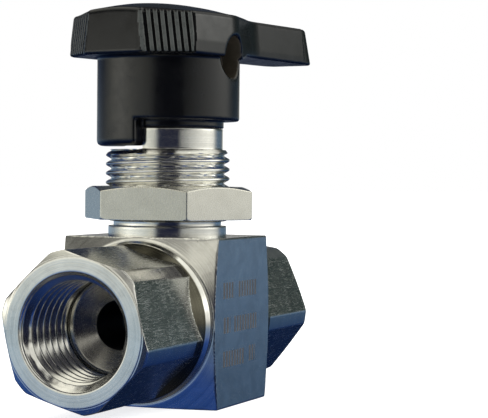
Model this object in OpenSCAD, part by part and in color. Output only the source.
// Quarter-turn mini ball valve: square bar-stock body with an integral
// panel-mounting neck, two screwed-in hexagon end connectors with tapped
// ports, a floating ball between two seats, a packed stem and a moulded
// lever handle with a stop tab. Units are millimetres.
// Origin: where the flow axis (Y) crosses the stem axis (Z).
// The front port faces -Y, the rear port +Y, and the handle is at the top.

/* [Body] */
// Side of the square bar across its flats
body_sq = 20.56; // [20:0.1:22]
// Length of the square body along the flow axis
body_len = 17.74; // [17.5:0.1:20]
// Radius at which the shallow turned chamfer starts on the body's end faces
body_turn_r = 10.9; // [10.6:0.1:11.6]

/* [Neck] */
// Outside radius of the neck's panel thread
neck_r = 7.75; // [7.7:0.01:7.8]
// Height of the thread's top end above the flow axis
neck_thread_top = 21.0; // [20.6:0.1:21.1]
// Height of the top of the half-round stop ring
stop_top = 23.62; // [23.2:0.02:23.62]
// Radius of the half-round stop ring
stop_r = 6.87; // [6.8:0.01:6.9]
// Direction of the stop ring's first wall, from +X towards +Y
stop_dir = 267.5; // [265:0.5:270]

/* [Connectors] */
// Distance from the stem axis to each port face
port_y = 25.62; // [25:0.1:28]
// Hexagon size across the flats
hex_af = 17.18; // [17:0.02:17.4]
// Radius of the turned lands on the hexagon's corners
land_r = 9.43; // [9.3:0.01:9.5]
// Clock angle of the front hexagon's first flat, from +X towards +Z
clock_front = 13.6; // [0:0.1:60]
// Clock angle of the rear hexagon's first flat, from +X towards +Z
clock_rear = 22; // [0:0.1:60]
// Wall radius of the tapped port
port_r = 5.56; // [5.5:0.01:5.6]
// Depth of the tapped port
port_depth = 10.7; // [9:0.1:11]
// Radius of the through bore
flow_r = 2.9; // [2:0.1:3]

/* [Ball] */
// Radius of the ball
ball_r = 5.5; // [5.3:0.05:5.6]

/* [Panel nut] */
// Panel nut size across the flats
nut_af = 19.05; // [18.9:0.05:19.4]
// Height of the panel nut's lower face above the flow axis
nut_z = 12.34; // [12.3:0.02:12.6]
// Thickness of the panel nut
nut_h = 4.08; // [3.8:0.02:4.1]
// Clock angle of one corner of the panel nut, from +X towards +Y
nut_clock = -53.4; // [-60:0.1:0]

/* [Handle] */
// Direction of the long arm at rest, from +X towards +Y
lever_dir = 78; // [70:1:90]
// Radius of the handle's round skirt
skirt_r = 8.9; // [8.8:0.05:9]
// Height of the skirt's lower edge
skirt_z = 24.6; // [24.5:0.05:24.8]
// Height of the stop tab's lower edge
tab_z = 21.4; // [21.3:0.05:21.6]
// Angular width of the stop tab, in degrees
tab_w = 89.6; // [89:0.1:89.8]
// Length of the long arm from the stem axis to its tip
arm_len = 29.5; // [28:0.5:33]
// Length of the short arm from the stem axis to its end face
short_len = 11.8; // [11.6:0.1:12.6]
// Height of the crown of the handle
crown_z = 39.1; // [39:0.1:39.6]
// Radius of the access hole over the set screw
access_r = 2.85; // [2.7:0.05:2.9]
// Height of the set screw's axis
screw_z = 32.5; // [32.2:0.1:32.6]
// Direction of the set screw's axis, from +X towards +Y
screw_dir = -2; // [-12:1:0]

/* [Hidden] */
$fn = 96;
FRONT = 1;                  // side of the valve, as used by facing()
REAR = -1;
reach = 20;                 // length of cutters
body_half = body_len / 2;
hex_flat_r = hex_af / 2;
spigot_r = 7.9;             // connector's screwed spigot
socket_r = 7.95;            // body's tapped socket
spigot_y = 4.5;             // inner end of the spigot
groove_y = [7.35, 8.45];    // inner and outer walls of the connector's groove
seat_r = 5.5;               // outside of the seat rings
seat_y = 6.0;               // outer face of the seat rings
pocket_r = 4.2;             // stem flange's pocket in the body
pocket_top = 8.3;
flange_r = 4.12;            // stem's flange
stem_r = 3.0;
stem_bore_r = 3.05;         // body's stem bore
flat_x = 2.3;               // half the distance across the stem's flats
seal_z = [8.75, 9.65];      // lower and upper walls of the stem's groove
pack_r = 4.6;               // packing chamber
pack_z = 10.0;              // floor of the packing chamber
insert_r = 5.0;             // handle insert
insert_z = 24.8;
insert_h = 11.2;
screw_r = 2.0;              // set screw
steel = "silver";
black = [0.07, 0.07, 0.08];
white = [0.92, 0.92, 0.9];

// Upright cylinder on the Z axis.
module post(radius, bottom, height) {
    translate([0, 0, bottom]) cylinder(r = radius, h = height);
}

// Upright hexagon on the Z axis, with one corner towards +X.
module hexagon(flat_radius, bottom, height) {
    translate([0, 0, bottom])
        cylinder(r = flat_radius / cos(30), h = height, $fn = 6);
}

// Box centred on the Z axis.
module box(size_x, size_y, bottom, height) {
    translate([-size_x / 2, -size_y / 2, bottom]) cube([size_x, size_y, height]);
}

// Solid turned about Z from an outline of [radius, height] points.
module turned(outline) {
    rotate_extrude() polygon(outline);
}

// A turned ring about Z between two radii.
module ring(inner, outer, bottom, top) {
    translate([0, 0, bottom])
        difference() {
            cylinder(r = outer, h = top - bottom);
            translate([0, 0, -1]) cylinder(r = inner, h = top - bottom + 2);
        }
}

// Ring of round section about Z.
module o_ring(radius, section_r, middle) {
    translate([0, 0, middle]) rotate_extrude()
        translate([radius, 0]) circle(r = section_r, $fn = 24);
}

// Lays a part on the flow axis, its local +Z pointing out of one port.
module facing(side) {
    rotate([side * 90, 0, 0]) children();
}

// Lays a part on the set screw's axis, its local +Z pointing outwards.
module on_screw_axis() {
    rotate([0, 90, screw_dir]) translate([-screw_z, 0, 0]) children();
}

// The half space clockwise of a direction about Z, from a height upwards.
module half_space(direction, bottom) {
    rotate([0, 0, direction])
        translate([-reach, -2 * reach, bottom]) cube(2 * reach * [1, 1, 1]);
}

// Quarter space anticlockwise of a direction about Z, from a height upwards.
module quarter_space(direction, bottom) {
    rotate([0, 0, direction])
        translate([0, 0, bottom]) cube([reach, reach, reach]);
}

// Round bar with two flats facing along the set screw's axis.
module double_d(bottom, height, gap = 0) {
    rotate([0, 0, screw_dir]) intersection() {
        post(stem_r + gap, bottom, height);
        box(2 * (flat_x + gap), 8, 20, 20);
    }
}

// Square bar with a shallow turned chamfer at both ends.
module bar() {
    chamfer_w = 4.3;
    chamfer_h = 1.22;
    outer_r = body_turn_r + chamfer_w;
    intersection() {
        box(body_sq, body_len, -body_sq / 2, body_sq);
        facing(FRONT)
            turned([[0, -body_half], [body_turn_r, -body_half],
                    [outer_r, -body_half + chamfer_h],
                    [outer_r, body_half - chamfer_h],
                    [body_turn_r, body_half], [0, body_half]]);
    }
}

// Collar, relief groove, panel thread and its lead-in.
module neck() {
    collar_r = 7.4;
    relief_r = 6.75;
    relief_z = [11.55, 12.1];
    turned([[0, 0], [collar_r, 0], [collar_r, relief_z[0] - 0.15],
            [collar_r - 0.15, relief_z[0]], [relief_r, relief_z[0]],
            [relief_r, relief_z[1]], [neck_r - 0.35, relief_z[1]],
            [neck_r, relief_z[1] + 0.35], [neck_r, neck_thread_top - 0.45],
            [neck_r - 0.45, neck_thread_top], [0, neck_thread_top]]);
}

// Half-round ring on top of the neck, rooted 1 mm into it.
module stop_ring() {
    difference() {
        post(stop_r, neck_thread_top - 1, stop_top - neck_thread_top + 1);
        half_space(stop_dir, neck_thread_top);
    }
}

module body() color(steel) difference() {
    union() {
        bar();
        neck();
        stop_ring();
    }
    // Tapped sockets for the connectors, and the ball cavity
    for (side = [FRONT, REAR])
        facing(side) post(socket_r, spigot_y - 0.2, reach);
    facing(FRONT) post(6.4, -6, 12);
    // Stem flange pocket, stem bore and packing chamber
    post(pocket_r, 0, pocket_top);
    post(stem_bore_r, 0, reach);
    post(pack_r, pack_z, reach);
}

// Hexagon with turned lands on its corners and a chamfered port end.
module connector_hexagon(clock) {
    hex_y = 9.7;
    intersection() {
        rotate([0, 0, clock - 30]) hexagon(hex_flat_r, hex_y, port_y - hex_y);
        turned([[0, 9.6], [land_r, 9.6], [land_r, port_y - 0.34],
                [hex_flat_r - 0.02, port_y], [0, port_y]]);
    }
}

// Grooved spigot, round shoulder against the body and the conical run-out
// into the hexagon.
module connector_spigot() {
    groove_r = 7.0;
    shoulder_r = 9.85;
    shoulder_y = body_half + 0.01;
    runout_y = 11.35;
    turned([[0, spigot_y], [spigot_r - 0.3, spigot_y],
            [spigot_r, spigot_y + 0.3], [spigot_r, groove_y[0]],
            [groove_r, groove_y[0]], [groove_r, groove_y[1]],
            [spigot_r, groove_y[1]], [spigot_r, shoulder_y],
            [9.6, shoulder_y], [shoulder_r, body_half + 0.2],
            [shoulder_r, 9.5], [9.55, 9.78],
            [hex_flat_r, runout_y], [0, runout_y]]);
}

// Through bore, drill point, tapped port and its countersunk mouth.
module port_cutter() {
    point_h = 1.35;
    mouth_r = 6.85;
    mouth_h = 1.29;
    floor_y = port_y - port_depth;
    turned([[0, 0], [flow_r, 0], [flow_r, floor_y - point_h],
            [port_r, floor_y], [port_r, port_y - mouth_h],
            [mouth_r, port_y], [mouth_r, port_y + 1], [0, port_y + 1]]);
}

// Screwed end connector; local +Z points out of the port.
module connector(clock) difference() {
    union() {
        connector_hexagon(clock);
        connector_spigot();
    }
    port_cutter();
    // Recess for the seat
    post(seat_r + 0.05, 0, seat_y + 0.05);
}
module end_connector_front() color(steel) facing(FRONT) connector(clock_front);
module end_connector_rear() color(steel) facing(REAR) connector(-clock_rear);

// O-ring in the connector's groove
module connector_o_ring(side) facing(side)
    o_ring(radius = 7.46, section_r = 0.45, middle = (groove_y[0] + groove_y[1]) / 2);
module connector_o_ring_front() color(black) connector_o_ring(FRONT);
module connector_o_ring_rear() color(black) connector_o_ring(REAR);

// Seat ring with a spherical face against the ball
module seat(side) facing(side) difference() {
    ring(flow_r + 0.05, seat_r, 3.3, seat_y);
    sphere(r = ball_r + 0.03);
}
module seat_front() color(white) seat(FRONT);
module seat_rear() color(white) seat(REAR);

// Floating ball; its bore lies along the flow, its drive slot lies across
module ball() color(steel) difference() {
    sphere(r = ball_r);
    facing(FRONT) post(flow_r, -reach / 2, reach);
    box(9, 2.6, 3.6, 4);
}

// Stem: tang, flange, seal groove, shank and two drive flats
module stem() color(steel) {
    flange_z = [6.2, 7.6];
    groove_r = 2.3;
    shank_top = 23.9;
    intersection() {
        box(6.0, 2.48, 3.75, 3.2);
        post(3.1, 0, 10);
    }
    turned([[0, flange_z[0]], [3.6, flange_z[0]], [flange_r, flange_z[0] + 0.5],
            [flange_r, flange_z[1]], [stem_r, flange_z[1]],
            [stem_r, seal_z[0]], [groove_r, seal_z[0]],
            [groove_r, seal_z[1]], [stem_r, seal_z[1]],
            [stem_r, shank_top], [0, shank_top]]);
    double_d(shank_top - 0.1, 11.4);
}
module stem_o_ring() color(black)
    o_ring(radius = 2.67, section_r = 0.35, middle = (seal_z[0] + seal_z[1]) / 2);

// Rings stacked round the stem
module thrust_washer() color(white) ring(3.05, flange_r, 7.65, pocket_top - 0.03);

// Packing ring, coned out at the top of its bore
module packing_ring(bottom, top) {
    bore_r = 3.04;
    difference() {
        ring(bore_r, pack_r - 0.04, bottom, top);
        translate([0, 0, top - 0.5]) cylinder(r1 = bore_r, r2 = 3.6, h = 0.6);
    }
}
module packing_ring_lower() color(white) packing_ring(pack_z + 0.03, 12.0);
module packing_ring_upper() color(white) packing_ring(12.04, 14.0);
module gland_follower() color(steel) ring(3.1, 4.52, 14.04, 15.5);

// Two dished washers with their raised inner rims towards each other
module disc_springs() color(steel) {
    dish = [[3.15, 0.34], [4.5, 0], [4.5, 0.3], [3.15, 0.64]];
    translate([0, 0, 15.56]) turned(dish);
    translate([0, 0, 16.94]) mirror([0, 0, 1]) turned(dish);
}

// Packing nut with crossed slots in its top
module packing_nut() color(steel) difference() {
    top = 20.9;
    ring(3.12, 4.55, 17.0, top);
    for (angle = [0, 90])
        rotate([0, 0, angle]) box(12, 1.2, top - 1, 3);
}

// Panel nut with a chamfered top and a bore countersunk at both ends
module panel_nut() color(steel) difference() {
    top = nut_z + nut_h;
    corner_r = 11.05;
    bore_r = neck_r + 0.05;
    intersection() {
        rotate([0, 0, nut_clock]) hexagon(nut_af / 2, nut_z, nut_h);
        turned([[0, nut_z], [corner_r - 0.2, nut_z], [corner_r, nut_z + 0.15],
                [corner_r, top - 0.62], [9.35, top], [0, top]]);
    }
    turned([[0, nut_z - 1], [8.8, nut_z - 1], [bore_r, nut_z + 0.3],
            [bore_r, top - 0.3], [8.4, top + 0.3], [0, top + 0.3]]);
}

// Stations of the grip block: [x along the long arm, half width]
grip_stations = [[-short_len, 4.1], [-7.8, 9.5], [2.0, 9.4],
                 [5.2, 7.9], [8.6, 6.1], [12, 4.6]];
grip_plan = concat(
    [for (station = grip_stations) [station[0], -station[1]]],
    [for (i = [len(grip_stations) - 1 : -1 : 0]) grip_stations[i]]);

// Stop tab; it ends just short of the stop ring's first wall.
module stop_tab() {
    tab_end = stop_dir - 0.2 - lever_dir;
    intersection() {
        ring(5.2, skirt_r, tab_z, skirt_z + 1);
        quarter_space(tab_end - tab_w, tab_z - 1);
        quarter_space(tab_end - 90, tab_z - 1);
    }
}

// Grip block under its spherical crown
module grip_block() {
    dome_r = 45;
    intersection() {
        translate([0, 0, 32.35]) linear_extrude(height = 8) polygon(grip_plan);
        translate([0, 0, crown_z - dome_r]) sphere(r = dome_r, $fn = 192);
    }
}

// Long arm with a rounded tip
module long_arm() {
    tip_r = 3.6;
    tip_x = arm_len - tip_r;
    root = [6, 4.8];
    translate([0, 0, 32.9]) linear_extrude(height = 5.0) union() {
        polygon([[root[0], -root[1]], [tip_x, -tip_r], [tip_x, tip_r], root]);
        translate([tip_x, 0]) circle(r = tip_r);
    }
}

// Moulded lever handle; its parts are laid out with the long arm along +X.
module handle() color(black) difference() {
    rotate([0, 0, lever_dir]) {
        // Round skirt and the boss over the neck
        post(skirt_r, skirt_z, 10);
        post(6.95, stop_top + 0.08, skirt_z - stop_top + 1);
        stop_tab();
        grip_block();
        long_arm();
    }
    // Socket for the metal insert, and the stem's way in
    post(insert_r + 0.02, insert_z - 0.05, insert_h + 0.1);
    post(3.3, 20, 10);
    // Access hole over the set screw
    on_screw_axis() post(access_r, 0, reach);
}

// Metal insert with a double-D bore and a tapped cross hole
module handle_insert() color(steel) difference() {
    post(insert_r, insert_z, insert_h);
    double_d(24, 11.3, gap = 0.03);
    on_screw_axis() post(screw_r + 0.02, 0, 8);
}

// Socket set screw that clamps the insert to the stem
module set_screw() color(steel) on_screw_axis() difference() {
    head = 6.7;
    turned([[0, flat_x + 0.02], [screw_r - 0.6, flat_x + 0.02],
            [screw_r, flat_x + 0.6], [screw_r, head - 0.2],
            [screw_r - 0.2, head], [0, head]]);
    translate([0, 0, 5.0]) cylinder(r = 1.15, h = 3, $fn = 6);
}

body();
end_connector_front();
end_connector_rear();
connector_o_ring_front();
connector_o_ring_rear();
seat_front();
seat_rear();
ball();
stem();
stem_o_ring();
thrust_washer();
packing_ring_lower();
packing_ring_upper();
gland_follower();
disc_springs();
packing_nut();
panel_nut();
handle();
handle_insert();
set_screw();
